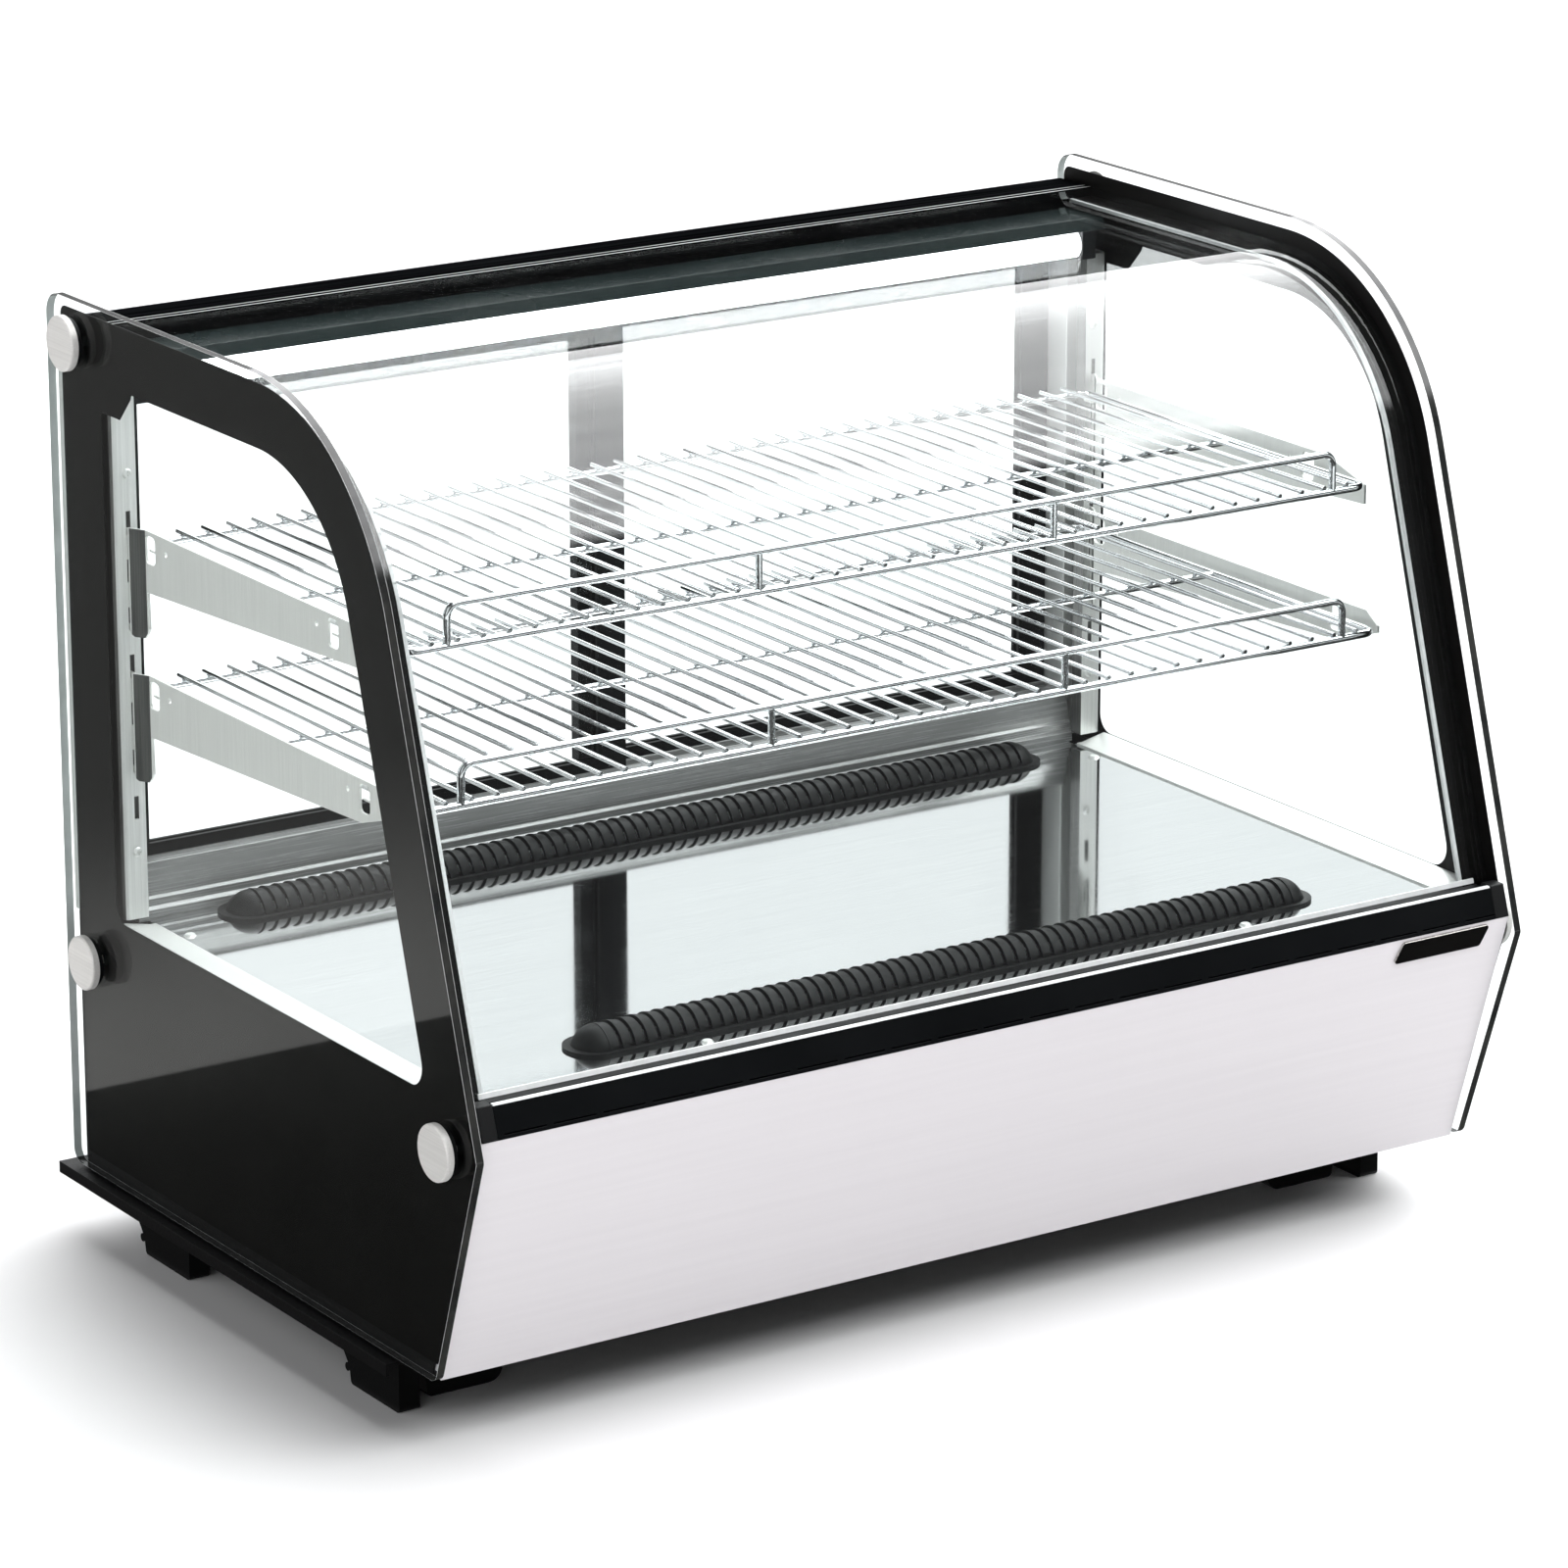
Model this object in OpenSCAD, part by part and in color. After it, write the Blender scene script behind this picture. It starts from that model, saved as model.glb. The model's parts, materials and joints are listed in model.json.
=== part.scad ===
// Countertop refrigerated bakery display case with a curved front glass, two wire shelves and
// sliding rear doors. +Z is up, the front faces -Y, and z = 0 is the plane under the feet.

/* [Case] */
// Width over the outer faces of the two side glasses
case_w = 859; // [840:1:880]
// Height of the top edge of the side glasses
case_top = 685; // [675:1:700]
// Thickness of the side glasses
side_glass_t = 6; // [5:0.5:8]
// Radius of the bend at the top front of the side glasses
bend_r = 182; // [150:1:200]
// Width of the clear rim outside the black print of a side glass
clear_rim = 9; // [6:1:12]

/* [Front glass] */
// Distance from the side glass outline to the outer face of the curved glass
front_inset = 20; // [18:1:24]
// Thickness of the curved front glass
front_glass_t = 6; // [5:0.5:7]
// Width of the black border along each side of the curved glass
border_w = 18; // [12:1:24]

/* [Base] */
// Height of the feet, up to the underside of the base lip
foot_h = 41; // [36:1:45]
// Height of the display deck above the table
deck_z = 241; // [239:1:243]

/* [Shelves] */
// Height of the upper shelf's frame wire
upper_z = 519.4; // [517:0.2:520]
// Height of the lower shelf's frame wire
lower_z = 415.8; // [413:0.2:416.4]
// Number of wires that run from front to back in a shelf
shelf_wires = 39; // [33:2:39]
// Diameter of the frame and guard rail wire
frame_wire_d = 5.6; // [5:0.2:6]
// Diameter of the wires that run from front to back
deck_wire_d = 3.2; // [3:0.2:4]

/* [Doors] */
// Distance that a rear door overlaps the centre of the opening
door_overlap = 16; // [14:1:20]
// Width of the upright bars of a door frame
stile_w = 24; // [22:1:34]

/* [Hidden] */
$fn = 64;
eps = 0.01;

// side view outline of the case, as [y, z] corners in order, and the radius of each corner
outline = [[275.5, 52], [275.5, case_top], [-142.3, case_top], [-284.5, 220], [-228, 52]];
outline_r = [10, 16, bend_r, 5, 8];

glass_x = case_w / 2;
inner_x = glass_x - side_glass_t;
film_gap = 0.1;
film_t = 0.4;
print_x = inner_x - film_gap - film_t;
cap_places = [[240, 655], [238, 211], [-245, 218]];
cap_d = 39;
cap_out = 9.5;

lip_x = glass_x + 8;
pan_top = foot_h + 8.5;
pan_rear = 284.2;
wall_x = inner_x - 3;

header_y = [231.5, 275.5];
header_z = [632, 665.5];
lamp_y = 203;
lamp_z = 632;
lamp_d = 21;
lamp_half = 386;

deck_x = 396;
deck_y = [-242.5, 217];
grille_front = [8, -183];
grille_rear = [0, 194];

upright_x = [401, 414.5];
upright_y = [205.5, 232];
upright_bend = 5;
slot_x = 408;
slot_pitch = 34;
slot_z0 = 328.2;
slot_h = 16.6;
slot_w = 3.4;
slots = [for (i = [0:6]) slot_z0 + i * slot_pitch];

sill_y = [218, 275.5];
sill_top = 279;
opening_x = 404;
sill_x = opening_x - 1.6;
track_y = [[242, 254], [256, 268]];
door_t = 10;
door_z = [265.1, 626];
track_floor = 265;
door_w = opening_x + door_overlap - 1;

machine_z = pan_top;
compressor_at = [255, 55];
fan_at = [250, 122];
evap_fan_at = [-250, 168];
panel_y = [276, 278];
control_at = [-250, 150];
switch_at = [[-330, 150], [-365, 150]];

// ---------- shared shapes ----------

function unit(v) = v / norm(v);
function before(p, i) = unit(p[(i + len(p) - 1) % len(p)] - p[i]);
function after(p, i) = unit(p[(i + 1) % len(p)] - p[i]);
function half_angle(p, i) = acos(before(p, i) * after(p, i)) / 2;
function inward(p, i, d) = p[i] + unit(before(p, i) + after(p, i)) * d / sin(half_angle(p, i));
function inset(p, d) = [for (i = [0:len(p) - 1]) inward(p, i, d)];

// a convex polygon with a true arc at each corner
module rounded(p, r) {
  polygon([for (i = [0:len(p) - 1])
    for (side = [before(p, i), after(p, i)]) p[i] + side * r[i] / tan(half_angle(p, i))]);
  for (i = [0:len(p) - 1]) translate(inward(p, i, r[i])) circle(r[i]);
}

function turn(a) = a > 180 ? a - 360 : a < -180 ? a + 360 : a;
function angle_of(v) = atan2(v[1], v[0]);
function arc_points(c, a, b, n) = [for (k = [0:n])
  let (t = angle_of(a - c) + turn(angle_of(b - c) - angle_of(a - c)) * k / n)
  c + norm(a - c) * [cos(t), sin(t)]];
function corner_points(p, i, r) = arc_points(inward(p, i, r),
  p[i] + before(p, i) * r / tan(half_angle(p, i)),
  p[i] + after(p, i) * r / tan(half_angle(p, i)), 4 + ceil(r / 6));

// the same outline for a thin film, with its arcs as short chords
module film_shape(p, r) {
  polygon([for (i = [0:len(p) - 1]) each corner_points(p, i, r[i])]);
}

// the case outline moved inwards by d
module case_outline(d) {
  rounded(inset(outline, d), [for (r = outline_r) max(r - d, 1)]);
}

// 2D [y, z] shape extruded from x0 to x1
module along_x(x0, x1) {
  translate([x0, 0, 0]) rotate([90, 0, 90]) linear_extrude(x1 - x0) children();
}

// 2D [x, z] shape extruded from y0 to y1
module along_y(y0, y1) {
  translate([0, y1, 0]) rotate([90, 0, 0]) linear_extrude(y1 - y0) children();
}

module box(lo, hi) {
  translate(lo) cube(hi - lo);
}

module rod_x(x0, x1, y, z, d) {
  translate([x0, y, z]) rotate([0, 90, 0]) cylinder(d = d, h = x1 - x0);
}

module rod_y(x, y0, y1, z, d) {
  translate([x, y0, z]) rotate([-90, 0, 0]) cylinder(d = d, h = y1 - y0);
}

module slot_2d(w, h, r) {
  rounded([[-w / 2, -h / 2], [w / 2, -h / 2], [w / 2, h / 2], [-w / 2, h / 2]], [r, r, r, r]);
}

module stadium(length, width) {
  slot_2d(length, width, width / 2 - eps);
}

// a quarter bend of round wire, from +X round to +Y about the origin
module quarter_bend(r, d) {
  rotate_extrude(angle = 90) translate([r, 0]) circle(d = d);
}

module both_sides() {
  children();
  mirror([1, 0, 0]) children();
}

// ---------- base and feet ----------

module base_pan() {
  wall = [[272, pan_top - 2.5], [272, 238], [-252, 238], [-262, 221], [-208, pan_top - 2.5]];
  color("#17181a") {
    difference() {
      union() {
        box([-lip_x + 2.5, -178, pan_top - 2.5], [lip_x - 2.5, pan_rear, pan_top]);
        box([-wall_x, -212, pan_top - 2.5], [wall_x, -170, pan_top]);
        both_sides() box([lip_x - 2.5, -178, foot_h], [lip_x, pan_rear, pan_top]);
        both_sides() box([-wall_x, -212, pan_top - 2.5], [-wall_x + 30, -160, pan_top]);
        box([-lip_x + 2.5, pan_rear - 2.5, foot_h], [lip_x - 2.5, pan_rear, pan_top]);
        both_sides() along_x(wall_x - 2, wall_x) polygon(wall);
      }
      both_sides() for (c = [1, 2])
        rod_x(wall_x - 10, wall_x + 1, cap_places[c][0], cap_places[c][1], 6.2);
      for (x = [-300:30:60]) box([x, -60, pan_top - 5], [x + 18, 20, pan_top + 1]);
    }
  }
}

// one foot: an outer block along Y, a wing along X and a plate that joins them
module corner_foot() {
  along_x(397, 413) rounded([[-152, 0], [-88, 0], [-86, 12], [-62, foot_h], [-152, foot_h]],
    [3, 3, 3, 1, 1]);
  along_y(-137, -121) rounded([[326, 0], [382, 0], [388, foot_h], [316, foot_h]], [11, 4, 1, 1]);
  box([316, -150, foot_h - 6], [400, -90, foot_h]);
}

module corner_feet() {
  color("#0d0e10") for (y = [0, 290]) both_sides() translate([0, y, 0]) corner_foot();
}

// ---------- side glasses, their print and caps ----------

module cap_holes(d) {
  for (c = cap_places) translate(c) circle(d = d);
}

module side_glass_left() {
  color("#bfd0cf", 0.35) along_x(-glass_x, -inner_x) difference() {
    case_outline(0);
    cap_holes(10);
  }
}

module side_glass_right() {
  mirror([1, 0, 0]) side_glass_left();
}

// the clear window in the black print, with the notch at its top rear corner
module window_2d() {
  front = inset(outline, 59);
  difference() {
    film_shape([[211, 246.7], [211, 631.6], [front[2][0] + 1.6, 631.6],
      [front[2][0] - 0.3 * (631.6 - 246.7) + 1.6, 246.7]], [14, 4, 120, 15]);
    polygon([[220, 611], [184, 611], [168, 628], [163, 640], [220, 640]]);
  }
}

module side_print_left() {
  color("#1b1a19") along_x(-print_x - film_t, -print_x) difference() {
    film_shape(inset(outline, clear_rim), [for (r = outline_r) max(r - clear_rim, 2)]);
    window_2d();
    cap_holes(12);
  }
}

module side_print_right() {
  mirror([1, 0, 0]) side_print_left();
}

module glass_standoffs() {
  color("#101112") both_sides() for (c = cap_places) difference() {
    translate([0, c[0], c[1]]) rod_x(glass_x, glass_x + 4, 0, 0, 34);
    translate([0, c[0], c[1]]) rod_x(glass_x - 1, glass_x + 5, 0, 0, 9);
  }
}

module glass_caps() {
  color("#c9c7c4") both_sides() for (c = cap_places) translate([glass_x + 4, c[0], c[1]])
    rotate([0, 90, 0]) {
      rotate_extrude() polygon([[0, 0], [cap_d / 2, 0], [cap_d / 2, cap_out - 5],
        [cap_d / 2 - 1, cap_out - 4], [0, cap_out - 4]]);
      translate([0, 0, -13]) cylinder(d = 6, h = 13 + eps);
    }
}

// ---------- curved front glass ----------

module front_band(d0, d1) {
  intersection() {
    difference() {
      case_outline(d0);
      case_outline(d1);
    }
    polygon([[header_y[0] - 1.5, 700], [-300, 700], [-300, 247.7], [-200, 247.7],
      [header_y[0] - 1.5, 560]]);
  }
}

module front_glass() {
  color("#c6d4d3", 0.3) along_x(-print_x + 0.3, print_x - 0.3)
    front_band(front_inset, front_inset + front_glass_t);
}

module front_glass_border() {
  color("#0c0d0e") both_sides() along_x(print_x - border_w, print_x - 0.3)
    front_band(front_inset + front_glass_t + film_gap, front_inset + front_glass_t + film_gap + film_t);
}

// side seals inside the borders, a seal at the foot of the glass and one on the profile's lip
module front_glass_seals() {
  d = front_inset + front_glass_t;
  color("#e4e7e6") {
    both_sides() along_x(print_x - border_w - 3, print_x - border_w - 0.2) intersection() {
      front_band(d, d + 2.5);
      translate([-300, 250]) square([600, 450]);
    }
    along_x(-409.5, 409.5)
      polygon([[-255.2, 251.6], [-254.1, 251.6], [-253.1, 254.8], [-254.2, 254.8]]);
    along_x(-409.5, 409.5)
      polygon([[-272.5, 252.6], [-272.1, 253.8], [-269.6, 253.8], [-269.6, 252.6]]);
  }
}

// ---------- front profile and panel ----------

module front_profile() {
  color("#0e0f11") difference() {
    along_x(-410, 410) difference() {
      polygon([[-279.7, 231.4], [-272.7, 252.5], [-269.3, 252.5], [-271, 247.4], [-263, 247.4],
        [-262, 251.2], [-257, 251.2], [-257, 247.4], [-243, 247.4], [-243, 231.4]]);
      polygon([[-270, 236], [-267.5, 243], [-250, 243], [-250, 236]]);
    }
    for (x = [-405:37.5:390]) box([x, -281, 233.8], [x + 32, -274, 234.8]);
  }
}

module profile_end_caps() {
  color("#15171a") both_sides() along_x(410, 422)
    polygon([[-280.2, 231.4], [-272.6, 254], [-262, 254], [-262, 231.4]]);
}

module front_panel() {
  panel = [[-279.2, 231.2], [-222.5, 50], [-220, 51], [-276.3, 229], [-262, 229], [-262, 231.2]];
  color("#ebe9ee") {
    along_x(-422, 422) polygon(panel);
    both_sides() along_x(416.8, 418.3)
      polygon([[-278, 229.5], [-262, 229.5], [-208, 52], [-222, 52]]);
  }
}

module name_badge() {
  lean = atan((279.2 - 222.5) / (231.2 - 50));
  middle_z = 221;
  face_y = -279.2 + (231.2 - middle_z) * tan(lean);
  color("#1a1b1d") translate([363.5, face_y, middle_z]) rotate([90 + lean, 0, 0])
    translate([0, 0, 0.05]) linear_extrude(2)
    rounded([[-41, -8.5], [36, -8.5], [41, 8.5], [-36, 8.5]], [2.5, 2.5, 2.5, 2.5]);
}

// ---------- header and lamp ----------

module top_cover() {
  y0 = header_y[0];
  y1 = header_y[1];
  z0 = header_z[0];
  z1 = header_z[1];
  color("#16181a") difference() {
    along_x(-print_x + 0.4, print_x - 0.4) difference() {
      polygon([[y0, z0], [y0, z1], [y1 - 4, z1], [y1, z1 - 4], [y1, z0 + 3], [y1 - 2, z0 + 3],
        [y1 - 2, z1 - 5], [y1 - 5, z1 - 2], [y0 + 2, z1 - 2], [y0 + 2, z0]]);
      polygon([[y0 + 20, z1 - 1], [y0 + 22, z1 - 1], [y0 + 22, z1 + 1], [y0 + 20, z1 + 1]]);
      polygon([[y0 + 4, z1 - 1], [y0 + 5.5, z1 - 1], [y0 + 5.5, z1 + 1], [y0 + 4, z1 + 1]]);
    }
  }
  color("#16181a") both_sides() difference() {
    along_x(print_x - 4, print_x - 0.4)
      polygon([[y0 + 2, z0 + 3], [y0 + 2, z1 - 2], [y1 - 5, z1 - 2], [y1 - 2, z1 - 5],
        [y1 - 2, z0 + 3]]);
    rod_x(print_x - 6, print_x + 1, cap_places[0][0], cap_places[0][1], 6.2);
  }
}

module lamp_housing() {
  color("#e9ebea") along_x(-lamp_half - 20, lamp_half + 20)
    polygon([[189, 643], [193, 652], [header_y[0], 652], [header_y[0], 649], [218, 649],
      [214, 643]]);
}

module lamp_tube() {
  color("#fbfcfc") rod_x(-lamp_half, lamp_half, lamp_y, lamp_z, lamp_d);
}

module lamp_holders() {
  color("#2a2d2f") both_sides() {
    box([lamp_half + 1, lamp_y - 11, lamp_z - 11], [lamp_half + 13, lamp_y + 11, 643]);
    rod_x(lamp_half, lamp_half + 1, lamp_y, lamp_z, 8);
  }
}

// ---------- deck, ledges and air grilles ----------

module deck_plate() {
  color("#d9dcdd") difference() {
    box([-deck_x, deck_y[0], deck_z - 2.9], [deck_x, deck_y[1], deck_z]);
    translate([grille_front[0], grille_front[1], deck_z - 4]) linear_extrude(6) stadium(590, 28);
    translate([grille_rear[0], grille_rear[1], deck_z - 4]) linear_extrude(6) stadium(676, 28);
  }
}

module side_ledges() {
  color("#c3c6c7") both_sides() along_y(-242, 204)
    polygon([[deck_x + 0.5, 238.2], [deck_x + 0.5, 242.5], [deck_x + 5, 242.5],
      [inner_x - 2.5, 246.7], [inner_x - 1, 246.7], [inner_x - 1, 244], [deck_x + 6, 240],
      [deck_x + 6, 238.2]]);
}

// a long domed grille: a flange with round ends under a row of arched louvres and two domed ends
module air_grille(at, length) {
  pitch = 10;
  ribs = floor((length - 52) / 2 / pitch);
  end_x = length / 2 - 24;
  base_z = deck_z - 3;
  color("#141618") translate([at[0], at[1], 0]) {
    translate([0, 0, deck_z]) linear_extrude(2) difference() {
      stadium(length, 44);
      stadium(length - 18, 26);
    }
    intersection() {
      union() {
        for (i = [-ribs:ribs]) difference() {
          translate([i * pitch - 4.1, 0, base_z]) rotate([0, 90, 0])
            cylinder(d1 = 38.4, d2 = 35.8, h = 8.2);
          rod_x(i * pitch - 5, i * pitch + 5, 0, base_z, 33);
        }
        for (side = [-1, 1]) difference() {
          translate([side * end_x, 0, base_z]) sphere(d = 37.6);
          translate([side * end_x, 0, base_z]) sphere(d = 33);
          translate([side * (end_x - 30), 0, base_z]) cube(60, center = true);
        }
      }
      box([-400, -30, deck_z + 1], [400, 30, deck_z + 40]);
    }
    for (side = [-1, 1]) box([-end_x - 4, side * 16 - 1.2, deck_z + 1],
      [end_x + 4, side * 16 + 1.2, deck_z + 4]);
  }
}

module front_grille() {
  air_grille(grille_front, 614);
}

module rear_grille() {
  air_grille(grille_rear, 700);
}

// ---------- uprights and shelf brackets ----------

module upright_left() {
  x0 = upright_x[0];
  x1 = upright_x[1];
  y0 = upright_y[0];
  r = upright_bend;
  bend = [x1, y0 + r];
  section = concat(
    [[x0, y0 + 12], [x0, y0]],
    arc_points(bend, [x1, y0], [x1 + r, y0 + r], 8),
    [[x1 + r, upright_y[1]], [x1 + r - 2, upright_y[1]]],
    arc_points(bend, [x1 + r - 2, y0 + r], [x1, y0 + 2], 8),
    [[x0 + 2, y0 + 2], [x0 + 2, y0 + 12]]);
  color("#c2c5c4") mirror([1, 0, 0]) difference() {
    translate([0, 0, 247.5]) linear_extrude(373) polygon(section);
    for (z = slots) box([slot_x - slot_w / 2, y0 - 1, z - slot_h / 2],
      [slot_x + slot_w / 2, y0 + 3, z + slot_h / 2]);
    for (z = [296, 567]) rod_y(slot_x, y0 - 1, y0 + 3, z, 3.4);
  }
}

module upright_right() {
  mirror([1, 0, 0]) upright_left();
}

// a punched plate with a joggled heel that hooks into the upright.
// slot is the upper slot it uses, front its front outline as [y, drop below the top]
module bracket(top, slot, front, hole_y) {
  y0 = upright_y[0] - 0.6;
  plate_x = slot_x - 7.5;
  heel = [[y0, top], [y0, top - 74], [y0 - 4, top - 77], [y0 - 11, top - 77], [y0 - 15, top - 70],
    [y0 - 14, top - 44]];
  bend = [[slot_x - 1, y0], [slot_x + 1, y0], [slot_x + 1, y0 - 2], [plate_x + 2, y0 - 13],
    [plate_x + 2, -200], [plate_x, -200], [plate_x, y0 - 13.5], [slot_x - 1, y0 - 2.5]];
  color("#bfc1bd") {
    intersection() {
      along_x(plate_x - 1, slot_x + 2) difference() {
        polygon(concat(heel, [for (p = front) [p[0], top - p[1]]]));
        for (y = [y0 - 20, hole_y]) translate([y, top - 13]) slot_2d(14, 20, 4);
        for (y = [y0 - 42, hole_y + 22]) translate([y, top - 11]) circle(d = 4);
      }
      translate([0, 0, top - 80]) linear_extrude(90) polygon(bend);
    }
    // necks pass through the slots and turn down behind the face
    for (z = [slots[slot], slots[slot - 2]]) {
      box([slot_x - 1, y0 - 1, z - slot_h / 2 + 0.1], [slot_x + 1, y0 + 5.4, z - 4.2]);
      box([slot_x - 1, y0 + 3.2, z - slot_h / 2 - 7], [slot_x + 1, y0 + 5.4, z - 4.2]);
    }
    // tabs that turn in under the shelf frame
    for (y = [y0 - 20, hole_y])
      box([plate_x - 14, y - 8, top - 14.3], [plate_x + 1, y + 3, top - 12.7]);
  }
}

module bracket_upper_left() {
  mirror([1, 0, 0]) bracket(upper_z + 9.8, 6, [[-131, 27], [-131, 13], [-88, 0]], -66);
}

module bracket_upper_right() {
  mirror([1, 0, 0]) bracket_upper_left();
}

module bracket_lower_left() {
  mirror([1, 0, 0]) bracket(lower_z + 9.8, 3, [[-99, 30], [-150, 14], [-150, 9], [-137, 0]], -103);
}

module bracket_lower_right() {
  mirror([1, 0, 0]) bracket_lower_left();
}

// ---------- wire shelves ----------

// frame, mid rod, front-to-back wires and the guard rail on posts
module wire_shelf(z, front, rear, half, mid, wire_end) {
  r = 9;
  d = frame_wire_d;
  rail_d = d - 0.3;
  post = half - 29;
  rail_h = 28;
  pitch = 2 * (half - 17) / (shelf_wires - 1);
  color("#cfd3d6") {
    rod_x(-half + r, half - r, front, z, d);
    rod_x(-half + r, half - r, rear, z, d);
    rod_x(-half, half, mid, z, d - 0.6);
    both_sides() {
      rod_y(half, front + r, rear - r, z, d);
      translate([half - r, rear - r, z]) quarter_bend(r, d);
      translate([half - r, front + r, z]) rotate(-90) quarter_bend(r, d);
      translate([post, front, z]) cylinder(d = rail_d, h = rail_h - r);
      translate([post - r, front, z + rail_h - r]) rotate([90, 0, 0]) quarter_bend(r, rail_d);
      translate([post / 3, front, z]) cylinder(d = rail_d - 0.4, h = rail_h);
    }
    rod_x(-post + r, post - r, front, z + rail_h, rail_d);
    for (i = [0:shelf_wires - 1])
      rod_y(-half + 17 + i * pitch, front - 1.6, wire_end, z + d / 2 + deck_wire_d / 2 - 0.5,
        deck_wire_d);
  }
}

module shelf_upper() {
  wire_shelf(upper_z, -143, 190, 391, 13, 198);
}

module shelf_lower() {
  wire_shelf(lower_z, -158, 194, 391, 30, 202);
}

// ---------- cold box under the deck ----------

module insulated_tub() {
  color("#dfe3e4") difference() {
    union() {
      box([-414, -205, 100], [90, 200, 202]);
      box([-414, -228, 201], [414, 214, 238]);
    }
    box([-398, -190, 114], [76, 186, 240]);
    box([-398, -214, 210], [398, 202, 240]);
    translate([-100, 120, 95]) cylinder(d = 12, h = 30);
    translate([70, 95, 183]) rotate([0, 90, 0]) cylinder(d = 14, h = 30);
  }
}

module evaporator_coil() {
  color("#b9bec2") {
    for (x = [-360:9:36]) box([x, 40, 130], [x + 0.8, 150, 200]);
    for (y = [58, 95, 132]) for (z = [147, 183]) rod_x(-372, 48, y, z, 9.5);
    for (x = [-366, 43]) box([x, 40, 120], [x + 2, 150, 204]);
  }
}

// a square axial fan frame with a motor on three arms; the fan axis is along Y
module fan_frame(at, y0, y1, size, bore, motor_d) {
  mid = (y0 + y1) / 2;
  translate([at[0], 0, at[1]]) {
    difference() {
      along_y(y0, y1) slot_2d(size, size, 6);
      rod_y(0, y0 - 1, y1 + 1, 0, bore);
      for (sx = [-1, 1]) for (sz = [-1, 1])
        rod_y(sx * (size / 2 - 7), y0 - 1, y1 + 1, sz * (size / 2 - 7), 4.5);
    }
    rod_y(0, y1 - 14, y1, 0, motor_d);
    rod_y(0, mid - 9, y1 - 13, 0, 5);
    for (a = [90, 210, 330]) rotate([0, a, 0]) box([motor_d / 2 - 2, y1 - 4, -3],
      [bore / 2 + 2, y1, 3]);
  }
}

// a hub with a blind bore that runs on the motor shaft, and five set blades
module fan_rotor(at, y0, y1, bore, motor_d) {
  mid = (y0 + y1) / 2;
  translate([at[0], 0, at[1]]) {
    difference() {
      rod_y(0, mid - 11, y1 - 16, 0, motor_d);
      rod_y(0, mid - 9.5, y1 - 10, 0, 5.1);
    }
    for (a = [0:72:288]) rotate([0, a, 0]) translate([motor_d / 2 - 1.5, mid - 2, 0])
      rotate([28, 0, 0]) box([0, -1, -bore * 0.11], [bore / 2 - motor_d / 2 - 2.5, 1, bore * 0.11]);
  }
}

module evaporator_fan_frame() {
  color("#202326") fan_frame(evap_fan_at, -80, -38, 104, 96, 36);
}

module evaporator_rotor() {
  color("#2b2f33") fan_rotor(evap_fan_at, -80, -38, 96, 36);
}

// ---------- rear frame and sliding doors ----------

module rear_post_left() {
  color("#c0c3c2") difference() {
    box([-422, 235.5, 239], [-opening_x - 1, 275.5, 631.5]);
    box([-418, 239, 238], [-opening_x - 5, 276.5, 640]);
  }
}

module rear_post_right() {
  mirror([1, 0, 0]) rear_post_left();
}

module rear_sill() {
  y0 = sill_y[0];
  color("#54585a") along_x(-sill_x, sill_x) difference() {
    polygon([[y0, 239.5], [y0, 247], [y0 + 3, 249], [y0 + 3, 254], [y0 + 5, 256], [y0 + 5, 262],
      [y0 + 9, 274], [y0 + 9, sill_top], [275.5, sill_top], [275.5, 239.5]]);
    for (t = track_y) polygon([[t[0], track_floor], [t[0], 300], [t[1], 300], [t[1], track_floor]]);
    polygon([[y0 + 12, 243], [y0 + 12, 258], [272, 258], [272, 243]]);
  }
}

module door_top_track() {
  color("#1d2022") along_x(-sill_x, sill_x) difference() {
    polygon([[238, 614], [238, 631.5], [273, 631.5], [273, 614]]);
    for (t = track_y) polygon([[t[0], 600], [t[0], 628], [t[1], 628], [t[1], 600]]);
  }
}

// a sliding door's frame: x0 is its left edge, pull is the side with the finger recess
module door_frame(x0, track, pull) {
  y0 = track_y[track][0] + 1;
  y1 = y0 + door_t;
  x1 = x0 + door_w;
  edge = 22;
  pull_x = pull < 0 ? x0 + stile_w / 2 : x1 - stile_w / 2;
  color("#1a1c1e") difference() {
    box([x0, y0, door_z[0]], [x1, y1, door_z[1]]);
    box([x0 + stile_w, y0 - 1, door_z[0] + edge], [x1 - stile_w, y1 + 1, door_z[1] - edge]);
    box([x0 + stile_w - 6, y0 + 3, door_z[0] + edge - 6], [x1 - stile_w + 6, y0 + 7,
      door_z[1] - edge + 6]);
    translate([pull_x, 0, 440]) along_y(y1 - 6, y1 + 1) stadium_upright(110, 16);
  }
}

module stadium_upright(length, width) {
  slot_2d(width, length, width / 2 - eps);
}

module door_pane(x0, track) {
  y0 = track_y[track][0] + 4;
  edge = 16.2;
  color("#c6d4d3", 0.3) box([x0 + stile_w - 5.8, y0 + 0.1, door_z[0] + edge],
    [x0 + door_w - stile_w + 5.8, y0 + 3.9, door_z[1] - edge]);
}

module door_left_frame() {
  door_frame(-opening_x + 1, 0, -1);
}

module door_left_glass() {
  door_pane(-opening_x + 1, 0);
}

module door_right_frame() {
  door_frame(-door_overlap, 1, 1);
}

module door_right_glass() {
  door_pane(-door_overlap, 1);
}

// ---------- machine compartment ----------

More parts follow.
